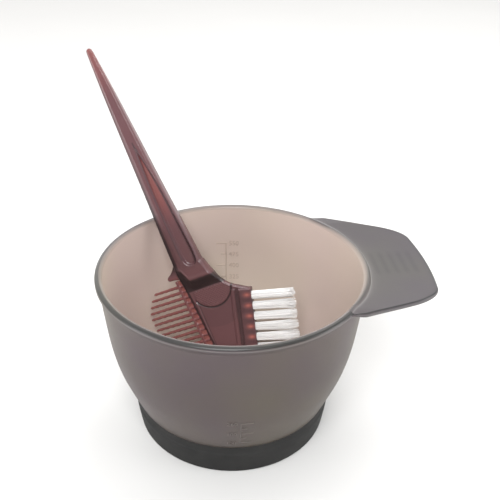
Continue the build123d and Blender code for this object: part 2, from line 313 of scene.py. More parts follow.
def turned(sections, angles):
    """A closed surface from one section per angle; every section starts and ends on the axis."""
    rows = len(sections[0]) - 2
    turn = np.array(angles)[:, None]
    body = np.array([s[1:-1] for s in sections])
    verts = np.stack([body[:, :, 0] * np.cos(turn), body[:, :, 0] * np.sin(turn), body[:, :, 1]], 2)
    verts = np.vstack([verts.reshape(-1, 3), [(0, 0, sections[0][0][1]), (0, 0, sections[0][-1][1])]])
    faces, n = [], len(angles)
    low, high = len(verts) - 2, len(verts) - 1
    for i in range(n):
        j = (i + 1) % n
        for k in range(rows - 1):
            faces.append((i * rows + k, j * rows + k, j * rows + k + 1, i * rows + k + 1))
        faces.append((low, j * rows, i * rows))
        faces.append((high, i * rows + rows - 1, j * rows + rows - 1))
    return verts, faces


def build_bowl():
    """The whole moulding as one turned surface, with the tab drawn out of the lip."""
    angles = np.radians(np.concatenate([np.arange(-FINE_SECTOR, FINE_SECTOR, FINE_TURN),
                                        np.arange(FINE_SECTOR, 360 - FINE_SECTOR, COARSE_TURN)]))
    sections = []
    for angle in angles:
        brim = brim_section(angle)
        wall = OUTER_LINE[OUTER_LINE[:, 1] < brim[0][1] - 0.5]
        wall = resample(np.vstack([wall, brim[:1]]), WALL_ROWS)[:-1]
        sections.append(np.vstack([FOOT_LINE, wall, brim, INNER_LINE[::-1][1:], FLOOR_LINE]))
    obj = outward(new_object("bowl_shell", *turned(sections, angles)))
    # the wall's inner skin is painted lighter and warmer than its outer skin, and the lip is between
    # the lighter inner skin is painted light, standing for light that comes through the wall
    skin = np.zeros((len(angles), len(sections[0]) - 2))
    lip_start = len(FOOT_LINE) - 1 + WALL_ROWS - 1 + len(brim) - LIP_ROWS
    skin[:, lip_start:lip_start + LIP_ROWS] = np.linspace(0, 1, LIP_ROWS) ** 2
    skin[:, lip_start + LIP_ROWS:] = 1
    # painted shade (dark) and painted highlights (pale) round the lip and on the tab
    dark, pale = bowl_shading(angles, skin.shape[1], lip_start)
    # the last two points close the surface on the axis, under the foot and on the floor inside
    give_attribute(obj, "inner", np.concatenate([skin.ravel(), [0, 1]]))
    give_attribute(obj, "dark", np.concatenate([dark.ravel(), [0, 0]]))
    give_attribute(obj, "pale", np.concatenate([pale.ravel(), [0, 0]]))
    return obj


def bowl_shading(angles, rows, lip_start):
    """Painted shade and painted highlights: round the lip, along the tab's edge and over its ribs."""
    dark, pale = lip_shading(angles, rows, lip_start)
    for k, angle in enumerate(angles):
        if tab_edge(angle) >= RIM_RADIUS + TAB_CLEAR:
            dark[k], pale[k] = tab_shading(angle, rows, lip_start)
    return np.clip(dark, 0, 1), np.clip(pale, 0, 1)


def lip_shading(angles, rows, lip_start):
    """Painted shade on the lip's top, darker at -Y, and painted highlights along both sides of it."""
    outer_rows = 2 * FLAT_ROWS + EDGE_ROWS + STEP_ROWS
    turn = np.full(rows, -90.0)                # how far round the lip each row is, in degrees
    turn[lip_start - outer_rows:lip_start] = np.linspace(-12, 50, outer_rows)
    turn[lip_start:lip_start + LIP_ROWS] = np.linspace(52, 180, LIP_ROWS)
    top = rise(turn, 20, 32) * rise(turn, 100, 88)
    dark = (0.60 - 0.18 * np.sin(angles)[:, None]) * top
    edges = 0.5 * bell(turn - 6, 9) + 0.35 * bell(turn - 112, 9)
    return dark, np.tile(edges, (len(angles), 1))


def tab_shading(angle, rows, lip_start):
    """Painted shade and highlights: one section's lip line, the tab's outlined edge, the ribs seen
    through.
    """
    row = np.arange(rows)
    top_start = lip_start - STEP_ROWS - FLAT_ROWS
    edge_middle = top_start - EDGE_ROWS / 2 - 0.5
    dark = 0.6 * bell(row - lip_start - 6, 3.2) + 0.8 * bell(np.abs(row - edge_middle) - 4.2, 1.6)
    pale = 0.5 * bell(row - lip_start + 2, 3.0) + 0.5 * bell(row - edge_middle, 1.8)
    radii = np.linspace(tab_edge(angle) - TAB_EDGE_ROUND, RIM_RADIUS, FLAT_ROWS)
    x, y = radii * math.cos(angle), radii * math.sin(angle)
    for rib in range(RIB_COUNT):
        streak = bell(x - RIB_START - RIB_PITCH * rib, 1.3) * rise(np.abs(y), 13, 7)
        dark[top_start:top_start + FLAT_ROWS] += 0.20 * streak
    return dark, pale


def radius_at(line, height):
    """The radius of a wall line at this height."""
    return float(np.interp(height, line[:, 1], line[:, 0]))


def on_wall(where, along, height, lift):
    """A point on the wall, along it to the reader's right of the scale's middle line."""
    if where == "inside":
        radius = radius_at(INNER_LINE, height) - lift
        angle = math.pi / 2 - along / radius
    else:
        radius = radius_at(OUTER_LINE, height) + lift
        angle = -math.pi / 2 + along / radius
    return radius * math.cos(angle), radius * math.sin(angle), height


def wall_bar(where, left, right, low, high):
    """A raised bar that follows the wall, with softened edges, as points and faces."""
    soft = MARK_WIDTH * 0.25
    us = [left, left + soft, *np.linspace(left + soft, right - soft, 8)[1:-1], right - soft, right]
    steps = max(2, int((high - low) / MARK_STEP))
    vs = [low, low + soft, *np.linspace(low + soft, high - soft, steps + 1)[1:-1], high - soft, high]
    verts, faces = [], []
    for layer in (0, 1):
        for i, u in enumerate(us):
            for j, v in enumerate(vs):
                rim = i in (0, len(us) - 1) or j in (0, len(vs) - 1)
                lift = -MARK_SINK if layer else (0.0 if rim else MARK_RAISE)
                verts.append(on_wall(where, u, v, lift))
    w, size = len(vs), len(us) * len(vs)
    for i in range(len(us) - 1):
        for j in range(w - 1):
            a = i * w + j
            faces.append((a, a + w, a + w + 1, a + 1))
            faces.append((size + a, size + a + 1, size + a + w + 1, size + a + w))
    loop = [i * w for i in range(len(us))] + [(len(us) - 1) * w + j for j in range(1, w)]
    loop += [i * w + w - 1 for i in range(len(us) - 2, -1, -1)] + list(range(w - 2, 0, -1))
    for a, b in zip(loop, loop[1:] + loop[:1]):
        faces.append((a, b, size + b, size + a))
    return verts, faces


def wall_number(where, number, along, height):
    """A raised number on the wall, as points and faces."""
    curve = bpy.data.curves.new("number", "FONT")
    curve.body = str(number)
    curve.size = NUMBER_SIZE[where]
    curve.extrude = (MARK_RAISE + MARK_SINK) / 2
    curve.align_x = "LEFT" if where == "inside" else "RIGHT"
    curve.resolution_u = 3
    text = bpy.data.objects.new("number", curve)
    bpy.context.scene.collection.objects.link(text)
    depsgraph = bpy.context.evaluated_depsgraph_get()
    mesh = text.to_mesh(preserve_all_data_layers=False, depsgraph=depsgraph)
    base = height - NUMBER_SIZE[where] * NUMBER_MIDDLE
    shift = (MARK_RAISE - MARK_SINK) / 2
    verts = [on_wall(where, along + v.co.x, base + v.co.y, v.co.z + shift) for v in mesh.vertices]
    faces = [tuple(p.vertices) for p in mesh.polygons]
    text.to_mesh_clear()
    bpy.data.objects.remove(text)
    bpy.data.curves.remove(curve)
    return verts, faces


def build_scale(where, heights, numbers, tick_side):
    """A middle line with ticks on one side of it and numbers on the other."""
    half = MARK_WIDTH / 2
    parts = [wall_bar(where, -half, half, heights[0] - half, heights[-1] + half)]
    for index, (height, number) in enumerate(zip(heights, numbers)):
        reach = MARK_LENGTH if index % 2 == 0 else MARK_LENGTH / 2
        ends = sorted((tick_side * half, tick_side * reach))
        parts.append(wall_bar(where, ends[0], ends[1], height - half, height + half))
        if number is not None:
            parts.append(wall_number(where, number, -tick_side * NUMBER_GAP, height))
    verts, faces = [], []
    for part_verts, part_faces in parts:
        faces += [tuple(i + len(verts) for i in face) for face in part_faces]
        verts += list(part_verts)
    obj = keep_creases(outward(new_object(f"scale_{where}", verts, faces)), 40)
    # the scale's share of the lighter inner skin, of painted shade and of painted highlight
    for name, value in zip(("inner", "dark", "pale"), SCALE_LOOK[where]):
        give_attribute(obj, name, np.full(len(obj.data.vertices), value))
    return obj


def build_tab_ribs():
    """Five low round ribs across the underside of the tab."""
    verts, faces = [], []
    sides, stations = 12, 15
    for index in range(RIB_COUNT):
        x = RIB_START + RIB_PITCH * index
        start = len(verts)
        for k in range(stations):
            t = -1 + 2 * k / (stations - 1)
            swell = math.sqrt(max(0.02, 1 - abs(t) ** 6))
            y = t * RIB_LENGTH / 2
            under = dish_height(math.hypot(x, y), math.atan2(y, x)) - TAB_THICKNESS
            for j in range(sides):
                a = 2 * math.pi * j / sides
                verts.append((x + RIB_WIDTH / 2 * swell * math.cos(a), y,
                              under + RIB_HEIGHT * swell * math.sin(a)))
        for k in range(stations - 1):
            for j in range(sides):
                a, b = start + k * sides + j, start + k * sides + (j + 1) % sides
                faces.append((a, b, b + sides, a + sides))
        faces.append(tuple(range(start, start + sides)))
        faces.append(tuple(range(len(verts) - sides, len(verts))))
    return outward(new_object("tab_ribs", verts, faces))


def build_ring():
    """The rubber ring under the bowl."""
    count, turns = 110, 256
    line = resample(np.vstack([RING_LINE, RING_LINE[:1]]), count + 1)[:-1]
    verts, faces = [], []
    for i in range(turns):
        a = 2 * math.pi * i / turns
        verts += [(r * math.cos(a), r * math.sin(a), z) for r, z in line]
        j = (i + 1) % turns
        for k in range(count):
            m = (k + 1) % count
            faces.append((i * count + k, j * count + k, j * count + m, i * count + m))
    return outward(new_object("ring_rubber", verts, faces))


# ---------------------------------------------------------------- brush
def brush_axes():
    """Unit vectors towards the bristles, up the handle and out of the brush's face."""
    lean, heading = math.radians(BRUSH_LEAN), math.radians(BRUSH_HEADING)
    flat = Vector((math.cos(heading), math.sin(heading), 0))
    up = flat * math.cos(lean) + Vector((0, 0, math.sin(lean)))
    upper = flat * -math.sin(lean) + Vector((0, 0, math.cos(lean)))
    face = Matrix.Rotation(math.radians(BRUSH_TWIST), 3, up) @ upper
    return np.array([up.cross(face), up, face])


AXES = brush_axes()


def in_world(points):
    """Points in the brush's own axes, as points of the frame."""
    return np.asarray(points) @ AXES + np.array(NECK_POINT)


def inside_polygon(x, y, outline):
    """How far each point is inside an outline; negative outside it."""
    nearest = np.full(x.shape, 1e9)
    inside = np.zeros(x.shape, bool)
    for (ax, ay), (bx, by) in zip(outline, list(outline[1:]) + [outline[0]]):
        ex, ey = bx - ax, by - ay
        t = np.clip(((x - ax) * ex + (y - ay) * ey) / (ex * ex + ey * ey + 1e-12), 0, 1)
        nearest = np.minimum(nearest, np.hypot(x - ax - t * ex, y - ay - t * ey))
        crosses = (ay > y) != (by > y)
        inside ^= crosses & (x < ex * (y - ay) / (ey if abs(ey) > 1e-9 else 1e-9) + ax)
    return np.where(inside, nearest, -nearest)


def rounded(outline, radius):
    """The outline with each corner cut to a short curve."""
    out = []
    n = len(outline)
    for k in range(n):
        a, b, c = (np.array(outline[(k + d) % n], float) for d in (-1, 0, 1))
        to_a, to_c = a - b, c - b
        cut = min(radius, 0.45 * np.linalg.norm(to_a), 0.45 * np.linalg.norm(to_c))
        p = b + to_a / np.linalg.norm(to_a) * cut
        q = b + to_c / np.linalg.norm(to_c) * cut
        for t in np.linspace(0, 1, 6):
            out.append(tuple((1 - t) ** 2 * p + 2 * t * (1 - t) * b + t * t * q))
    return out


def edge_rounding(inside, radius):
    """How much lower the surface is this far inside an edge with this rounding."""
    d = np.clip(inside, 0, radius)
    return radius - np.sqrt(np.maximum(0, radius**2 - (radius - d) ** 2))


SECTION_LINE = smooth_line(HANDLE_SECTIONS, 400)
PLATE = rounded([tuple(p) for p in smooth_line(PLATE_SHOULDER, 16)] + PLATE_REST, PLATE_ROUND)
HUMP_OUTLINE = rounded(HUMP, HUMP_ROUND)
GUARD_OUTLINE = rounded(GUARD, GUARD_ROUND)
GROOVE_LINE = [tuple(p) for p in smooth_line(GROOVE + GROOVE[:1], 90)][:-1]
BLOCK_IN = (-math.cos(math.radians(BLOCK_ANGLE)), math.sin(math.radians(BLOCK_ANGLE)))
BLOCK_DOWN = (-math.sin(math.radians(BLOCK_ANGLE)), -math.cos(math.radians(BLOCK_ANGLE)))


def block_place(x, y):
    """(distance in from the bristle edge, distance down along it)."""
    dx, dy = x - BLOCK_CORNER[0], y - BLOCK_CORNER[1]
    return dx * BLOCK_IN[0] + dy * BLOCK_IN[1], dx * BLOCK_DOWN[0] + dy * BLOCK_DOWN[1]


def step_lines(x):
    """The heights on the neck where its slope to the plate starts and ends."""
    return height_on(SLOPE_TOP, x), height_on(SLOPE_FOOT, x)


def tooth_places():
    """(root, tip, index) of each comb tooth's middle line."""
    slant = math.radians(TOOTH_SLANT)
    for index in range(TOOTH_COUNT):
        y = TOOTH_FIRST - TOOTH_PITCH * index
        beyond = max(0.0, y - LONGEST_TEETH[1], LONGEST_TEETH[0] - y)
        length = TOOTH_REACH - TOOTH_SHORTENING * beyond**2 + TOOTH_ROOT
        yield (TOOTH_ROOT, y), (TOOTH_ROOT - length * math.cos(slant), y + length * math.sin(slant))


def handle_inside(x, y, half_width):
    """How far each point is inside the tapering handle with its round tip."""
    off = x - HANDLE_SHIFT
    sides = np.minimum(half_width - np.abs(off), np.minimum(HANDLE_END - y, y - HANDLE_FOOT))
    tip_start = HANDLE_END - HANDLE_TIP_ROUND
    tip = half_width - np.hypot(off, np.maximum(0, y - tip_start))
    return np.where(y > tip_start, np.minimum(sides, tip), sides)


def handle_bevels(d, off, half_width):
    """The share of the depth that the bevels on both sides of the handle's face take away."""
    drop = 0
    for (width, share), side in ((COMB_SIDE_BEVEL, off < 0), (TUFT_SIDE_BEVEL, off >= 0)):
        drop = drop + share * np.clip(1 - d / (width * half_width), 0, 1) * side
    return drop


def blade(x, y):
    """Inside distance, half thicknesses front and back, and full thickness of handle and plate."""
    half_width = np.interp(y, SECTION_LINE[:, 0], SECTION_LINE[:, 1])
    depth = np.interp(y, SECTION_LINE[:, 0], SECTION_LINE[:, 2])
    d = np.maximum(handle_inside(x, y, half_width),
                   np.maximum(inside_polygon(x, y, HUMP_OUTLINE), inside_polygon(x, y, PLATE)))
    top, bottom = step_lines(x)
    bulk = PLATE_DEPTH + (depth - PLATE_DEPTH) * rise(y, bottom, top)
    thick = bulk - rise(y, 2, 12) * depth * handle_bevels(d, x - HANDLE_SHIFT, half_width)
    comb_side = np.clip(1 - (x - plate_edge(y)) / PLATE_BEVEL_WIDTH, 0, 1) * rise(y, bottom, bottom - 2)
    thick = thick - PLATE_BEVEL_DROP * comb_side * (y > PLATE_FOOT) * (x < 0)
    back = thick - edge_rounding(d, np.clip(EDGE_SHARE * thick, EDGE_LEAST, EDGE_MOST))
    ridge = bell(y - top - 0.5, RIDGE_WIDTH) * rise(d, 0.4, 1.6) * (y < 12)
    groove = smoothstep(inside_polygon(x, y, GROOVE_LINE) / GROOVE_BANK)
    cut = np.clip(GROOVE_SHARE * depth, 0, GROOVE_DEEPEST) * groove
    front = back + RIDGE_RAISE * ridge - cut
    return d, front, back, 2 * bulk


def plate_edge(y):
    """Where the plate's edge on the comb side is."""
    return height_on(PLATE_EDGE, y)


def border_line(y):
    """Where the raised border line is."""
    return height_on(BORDER, y)


def pad_relief(x, y):
    """Height of the stippled thumb pad above the plate, and how much its outline is cut in."""
    _, bottom = step_lines(x)
    ring = PAD_RADIUS - np.hypot(x - PAD_CENTRE[0], y - PAD_CENTRE[1])
    inside = np.minimum(np.minimum(ring, x - PAD_SIDE), bottom + 0.3 - y)
    dots = np.cos(x * STIPPLE_TURN) * np.cos(y * STIPPLE_TURN + x * STIPPLE_SLANT)
    pad = (PAD_RAISE + STIPPLE_RAISE * dots) * rise(inside, 0.35, 0.85)
    line = bell(ring, PAD_LINE_WIDTH) * (bottom - y > 0.2) * rise(x, PAD_SIDE - 0.6, PAD_SIDE)
    return pad - PAD_LINE_DEPTH * line, line


def plate_relief(x, y):
    """The raised border line on the plate's comb side."""
    line = bell(x - border_line(y), BORDER_WIDTH)
    return BORDER_RAISE * line * rise(y, -15.5, -17) * rise(y, PLATE_FOOT - 1, PLATE_FOOT + 1)


def block_heights(x, y):
    """Inside distance and half thickness of the bristle block, with its channel and rib."""
    inward, down = block_place(x, y)
    along = np.minimum(down, BLOCK_LENGTH - down)
    d = np.minimum(np.minimum(inward, BLOCK_WIDTH - inward), along)
    face = np.minimum(np.minimum(inward, CHANNEL_START - inward), along)
    thick = BLOCK_DEPTH - edge_rounding(face, BLOCK_ROUND)
    thick = np.where((inward > CHANNEL_START) & (inward <= CHANNEL_END), PLATE_DEPTH, thick)
    across = (inward - BACK_RIB_MIDDLE) / BACK_RIB_HALF
    rib_top = PLATE_DEPTH + BACK_RIB_RAISE * np.sqrt(np.clip(1 - across**2, 0, 1))
    return d, np.where(inward > CHANNEL_END, rib_top, thick)


def comb_heights(x, y):
    """Inside distance and half thickness of the comb's bar, teeth and guard."""
    left, right, top, length = COMB_BAR
    bar = np.minimum(np.minimum(x - left, right - x), np.minimum(top - y, y - top + length))
    d = np.maximum(bar, inside_polygon(x, y, GUARD_OUTLINE))
    thick = COMB_DEPTH - edge_rounding(d, COMB_ROUND)
    for (ax, ay), (bx, by) in tooth_places():
        ex, ey = bx - ax, by - ay
        t = np.clip(((x - ax) * ex + (y - ay) * ey) / (ex * ex + ey * ey), 0, 1)
        radius = TOOTH_RADIUS - TOOTH_THINNING * t
        tooth = radius - np.hypot(x - ax - t * ex, y - ay - t * ey)
        full = COMB_DEPTH - TOOTH_FLATTENING * t
        round_top = full * np.sqrt(np.clip(1 - (1 - np.clip(tooth / radius, 0, 1)) ** 2, 0, 1))
        thick = np.where(tooth > 0, np.maximum(round_top, np.where(d > 0, thick, 0)), thick)
        d = np.maximum(d, tooth)
    web = np.minimum(np.minimum(x - right + 0.3, TOOTH_ROOT - x), np.minimum(top - y, y - top + length))
    thick = np.where((web > 0) & (d < 0.05), WEB_THICKNESS, thick)
    return np.maximum(d, web), np.maximum(thick, LEAST_DEPTH)


def brush_surface(x, y):
    """For each point: inside distance, height of the face, depth of the back, full thickness."""
    d_blade, front, back, bulk = blade(x, y)
    pad, _ = pad_relief(x, y)
    front = front + np.where(d_blade > 0.3, pad + plate_relief(x, y), 0)
    d_block, block = block_heights(x, y)
    d_comb, comb = comb_heights(x, y)
    d = np.full(x.shape, -1e9)
    heights = [np.full(x.shape, LEAST_DEPTH) for _ in range(2)]
    full = np.zeros(x.shape)
    for part_d, part_front, part_back, part_full in ((d_blade, front, back, bulk),
                                                     (d_block, block, block, 2 * block),
                                                     (d_comb, comb, comb, 2 * comb)):
        here = part_d > -ON_EDGE
        heights[0] = np.where(here, np.maximum(heights[0], part_front), heights[0])
        heights[1] = np.where(here, np.maximum(heights[1], part_back), heights[1])
        full = np.where(here, np.maximum(full, part_full), full)
        d = np.maximum(d, part_d)
    return d, heights[0], heights[1], full


def body_tone(x, y, full):
    """Painted glow where thin, lighter towards the handle's tip, painted shade down the handle's comb
    side.
    """
    lower_handle = rise(y, 44, 24) * rise(y, 2, 6)
    tone = 0.32 + 0.42 * rise(full, 3.2, 1.0) - 0.07 * lower_handle + 0.22 * rise(y, 100, 130)
    half_width = np.interp(y, SECTION_LINE[:, 0], SECTION_LINE[:, 1])
    flank = rise(y, 0, 8) * rise((HANDLE_SHIFT - x) / half_width, 0.60, 0.74)
    return tone * (1 - flank * (0.35 + 0.6 * rise(y, 80, 20)))


def groove_tone(x, y, tone):
    """The groove: painted glow, redder at its upper end, with painted shade on one side's wall and its
    lip.
    """
    groove = inside_polygon(x, y, GROOVE_LINE)
    tone = tone + rise(groove, 0.3, 1.1) * (0.30 * rise(y, 26, 52) + 0.05)
    wall = rise(x - height_on(GROOVE_WALL, y), -0.5, 0.2) * rise(groove, -0.3, 0.2)
    lip = bell(groove + 0.05, 0.4) * (x < 1.0) * (y > 9)
    return tone * (1 - 0.72 * wall) * (1 - 0.45 * lip)


def plate_tone(x, y, tone):
    """Painted shade on the neck's slope, the bevel beside the comb, the pad's outline and beside the
    border.
    """
    top, bottom = step_lines(x)
    slope = rise(y, bottom - 0.4, bottom + 0.6) * rise(y, top + 0.4, top - 1.0)
    tone = np.where((x > -9.0) & (x < 19), tone * (1 - 0.97 * slope), tone)
    edge = plate_edge(y)
    bevel = rise(x, edge + 1.8, edge + 1.3) * (x > edge - 0.2) * (y < 1)
    tone = tone * (1 - 0.85 * bevel)
    pad, line = pad_relief(x, y)
    # painted shade in the pad's cut outline, and painted light and shade on its dots
    tone = tone * (1 - 0.9 * line) + 0.35 * (pad - PAD_RAISE) * (pad != 0)
    beside_border = bell(x - border_line(y) - 0.95, 0.35) * (y < -15.5)
    return tone * (1 - 0.6 * beside_border)


def block_tone(x, y, tone):
    """Painted shade: block darker than the plate, its channel darker still; painted glow at each tuft.
    """
    inward, down = block_place(x, y)
    on_block = (inward > -0.6) & (inward < CHANNEL_END) & (down > -0.6)
    tone = np.where(on_block, tone * (1 - 0.35 * smoothstep(down / 3)), tone)
    tone = np.where(on_block & (inward > CHANNEL_START), tone * 0.55, tone)
    for index in range(TUFT_COUNT):
        middle = GLOW_FIRST + TUFT_PITCH * index
        glow = bell(down - middle, GLOW_WIDE) * bell(inward - GLOW_INWARD, GLOW_LONG)
        tone = tone + 0.85 * glow * on_block
    return tone


def brush_tone(x, y, full):
    """Painted light: 0 for painted shade where the plastic is deep, 1 for a painted glow of light
    through it.
    """
    tone = body_tone(x, y, full)
    for add_part in (groove_tone, plate_tone, block_tone):
        tone = add_part(x, y, tone)
    return np.clip(tone, 0, 1)


def brush_grid():
    """The places of grid points that cover the outline, their square cells and border edges."""
    x, y = np.meshgrid(np.arange(-36.0, 27.6, BRUSH_PITCH), np.arange(-64.2, 134.4, BRUSH_PITCH))
    half = BRUSH_PITCH / 2
    rows, cols = np.nonzero(brush_surface(x[:-1, :-1] + half, y[:-1, :-1] + half)[0] > 0)
    width = x.shape[1]
    corner = rows * width + cols
    cells = np.stack([corner, corner + 1, corner + 1 + width, corner + width], 1)
    used, cells = np.unique(cells, return_inverse=True)
    cells = cells.reshape(-1, 4)
    # a border edge is one that only one cell has
    edges = np.vstack([cells[:, [k, (k + 1) % 4]] for k in range(4)])
    _, first, times = np.unique(np.sort(edges, 1), axis=0, return_index=True, return_counts=True)
    return x.ravel()[used].copy(), y.ravel()[used].copy(), cells, edges[first[times == 1]]


def snap_to_outline(px, py, which):
    """Moves these grid points on to the outline, in three steps down its distance's slope."""
    h, furthest = 0.03, 0.6 * BRUSH_PITCH
    for _ in range(3):
        x, y = px[which], py[which]
        d = brush_surface(x, y)[0]
        slope_x = (brush_surface(x + h, y)[0] - brush_surface(x - h, y)[0]) / (2 * h)
        slope_y = (brush_surface(x, y + h)[0] - brush_surface(x, y - h)[0]) / (2 * h)
        steepness = np.maximum(slope_x**2 + slope_y**2, 0.2)
        move = 0.9 * np.clip(d / steepness, -furthest, furthest)
        px[which] -= move * slope_x
        py[which] -= move * slope_y


def build_brush():
    """The whole moulding: a fine grid over its outline, raised to the face and the back."""
    px, py, cells, border = brush_grid()
    snap_to_outline(px, py, np.unique(border))
    _, front, back, full = brush_surface(px, py)
    points = np.vstack([np.stack([px, py, front], 1), np.stack([px, py, -back], 1)])
    n = len(px)
    walls = np.stack([border[:, 1], border[:, 0], border[:, 0] + n, border[:, 1] + n], 1)
    faces = np.vstack([cells, cells[:, ::-1] + n, walls]).tolist()
    obj = outward(new_object("brush_moulding", in_world(points), faces))
    # the tone carries the painted glow and painted shade to the material
    tone = brush_tone(px, py, full)
    give_attribute(obj, "tone", np.concatenate([tone, tone]))
    return keep_creases(obj, 55)


def tuft_frame(index):
    """Middle of one tuft's mouth, and the unit vectors out along it and across it."""
    down = -TUFT_FIRST + TUFT_PITCH * index
    mouth = (BLOCK_CORNER[0] + BLOCK_DOWN[0] * down, BLOCK_CORNER[1] + BLOCK_DOWN[1] * down)
    return np.array([*mouth, 0.0]), np.array([-BLOCK_IN[0], -BLOCK_IN[1], 0.0]), \
        np.array([*BLOCK_DOWN, 0.0]), np.array([0.0, 0.0, 1.0])


def build_tuft(index):
    """One tuft of separate nylon filaments that spread and end at slightly different lengths."""
    mouth, out, across, face = tuft_frame(index)
    verts, faces = [], []
    around = [2 * math.pi * j / HAIR_SIDES for j in range(HAIR_SIDES)]
    for hair in range(HAIRS_PER_TUFT):
        share = math.sqrt((hair + 0.5) / HAIRS_PER_TUFT)
        turn = hair * GOLDEN_TURN + rng.uniform(-0.2, 0.2)
        u, v = share * math.cos(turn), share * math.sin(turn)
        length = TUFT_LENGTH - rng.random() ** 1.4 * HAIR_UNEVEN - HAIR_CROWN * share**4
        bend_u, bend_v = rng.gauss(0, HAIR_STRAY), rng.gauss(0, HAIR_STRAY)
        start = len(verts)
        for ring in range(HAIR_RINGS):
            t = ring / (HAIR_RINGS - 1)
            s = -TUFT_ROOT + t * (length + TUFT_ROOT)
            free = max(0.0, s / TUFT_LENGTH)
            spread = TUFT_RADIUS * TUFT_FILL + (TUFT_TIP_RADIUS - TUFT_RADIUS) * free**1.3
            cu = u * spread + bend_u * free**2 * HAIR_BEND
            cv = v * spread + bend_v * free**2 * HAIR_BEND
            thin = HAIR_RADIUS * (1 - HAIR_TAPER * free**3)
            for a in around:
                verts.append(mouth + out * s + across * (cu + thin * math.cos(a))
                             + face * (cv + thin * math.sin(a)))
        for ring in range(HAIR_RINGS - 1):
            for j in range(HAIR_SIDES):
                a, b = start + ring * HAIR_SIDES + j, start + ring * HAIR_SIDES + (j + 1) % HAIR_SIDES
                faces.append((a, b, b + HAIR_SIDES, a + HAIR_SIDES))
        faces.append(tuple(range(start, start + HAIR_SIDES)))
        faces.append(tuple(range(len(verts) - HAIR_SIDES, len(verts))))
    return outward(new_object(f"filaments_{index + 1}", in_world(np.array(verts)), faces))


# ---------------------------------------------------------------- materials
class Nodes:
    """Short names for building one material's nodes."""

    def __init__(self, name):
        self.material = bpy.data.materials.new(name)
        self.material.use_nodes = True
        self.tree = self.material.node_tree
        self.tree.nodes.clear()
        self.output = self.tree.nodes.new("ShaderNodeOutputMaterial")
        self.place = self.tree.nodes.new("ShaderNodeTexCoord")

    def add(self, kind, **inputs):
        node = self.tree.nodes.new("ShaderNode" + kind)
        for name, value in inputs.items():
            node.inputs[name.replace("_", " ")].default_value = value
        return node

    def link(self, source, node, socket):
        self.tree.links.new(source, node.inputs[socket])

    def noise(self, scale, detail=3.0, roughness=0.55):
        node = self.add("TexNoise", Scale=scale, Detail=detail, Roughness=roughness)
        self.link(self.place.outputs["Object"], node, "Vector")
        return node.outputs["Fac"]

    def ramp(self, value, stops):
        node = self.add("ValToRGB")
        band = node.color_ramp
        while len(band.elements) < len(stops):
            band.elements.new(0.5)
        for element, (place, colour) in zip(band.elements, stops):
            element.position = place
            element.color = (*colour, 1) if len(colour) == 3 else colour
        self.link(value, node, "Fac")
        return node.outputs["Color"]

    def mixed(self, share, first, second):
        node = self.add("Mix")
        node.data_type = "RGBA"
        self.link(share, node, 0)
        self.link(first, node, 6)
        self.link(second, node, 7)
        return node.outputs[2]

    def scaled(self, value, low, high):
        node = self.add("MapRange")
        node.inputs["To Min"].default_value = low
        node.inputs["To Max"].default_value = high
        self.link(value, node, "Value")
        return node.outputs["Result"]

    def bump(self, value, strength, distance):
        node = self.add("Bump", Strength=strength, Distance=distance)
        self.link(value, node, "Height")
        return node.outputs["Normal"]

    def attribute(self, name):
        node = self.add("Attribute")
        node.attribute_name = name
        return node.outputs["Fac"]

    def finish(self, shader):
        self.link(shader, self.output, "Surface")
        return self.material

    def let_light_through(self, skin, colour, share):
        """The skin with a share of light coming through it; share is a number or an output."""
        glow = self.add("BsdfTranslucent")
        self.link(colour, glow, "Color")
        mix = self.add("MixShader")
        if isinstance(share, float):
            mix.inputs["Fac"].default_value = share
        else:
            self.link(share, mix, "Fac")
        self.link(skin.outputs["BSDF"], mix, 1)
        self.link(glow.outputs["BSDF"], mix, 2)
        return mix.outputs["Shader"]


def smoky_plastic():
    """Frosted, smoke tinted polypropylene that lets soft light through its walls."""
    m = Nodes("smoky_plastic")
    cloud = m.noise(14.0, 2.0)

    def clouded(first, second):
        return m.ramp(cloud, [(0.35, first), (0.65, second)])

    # one plastic in two copies: the inner skin painted lighter and warmer, as painted light through the
    # wall
    outside = clouded((0.042, 0.034, 0.041), (0.052, 0.047, 0.039))
    inside = clouded((0.68, 0.555, 0.49), (0.70, 0.585, 0.50))
    through_outside = clouded((0.275, 0.235, 0.25), (0.30, 0.275, 0.235))
    through_inside = clouded((0.93, 0.85, 0.81), (0.94, 0.87, 0.80))
    # painted shade for the dark attribute, painted highlight for the pale one
    deep = clouded((0.022, 0.026, 0.025), (0.026, 0.030, 0.027))
    light = clouded((0.30, 0.29, 0.29), (0.32, 0.32, 0.31))
    inner, dark, pale = m.attribute("inner"), m.attribute("dark"), m.attribute("pale")
    surface = m.mixed(pale, m.mixed(inner, outside, inside), light)
    through = m.mixed(inner, through_outside, through_inside)
    skin = m.add("BsdfPrincipled", IOR=1.42, Coat_Weight=0.6, Coat_Roughness=0.26)
    m.link(m.mixed(dark, surface, deep), skin, "Base Color")
    m.link(m.scaled(m.noise(500.0), 0.40, 0.52), skin, "Roughness")
    m.link(m.bump(m.noise(2600.0, 2.0), 0.10, 0.0002), skin, "Normal")
    return m.finish(m.let_light_through(skin, m.mixed(dark, through, deep), 0.45))


def base_rubber():
    """Matte black rubber with a fine moulded grain, in slightly uneven black."""
    m = Nodes("matte_rubber")
    tone = m.ramp(m.noise(60.0, 4.0), [(0.3, (0.012, 0.012, 0.012)), (0.7, (0.020, 0.0195, 0.019))])
    skin = m.add("BsdfPrincipled", IOR=1.33)
    m.link(tone, skin, "Base Color")
    m.link(m.scaled(m.noise(220.0), 0.62, 0.78), skin, "Roughness")
    m.link(m.bump(m.noise(1700.0, 2.0), 0.16, 0.0002), skin, "Normal")
    return m.finish(skin.outputs["BSDF"])


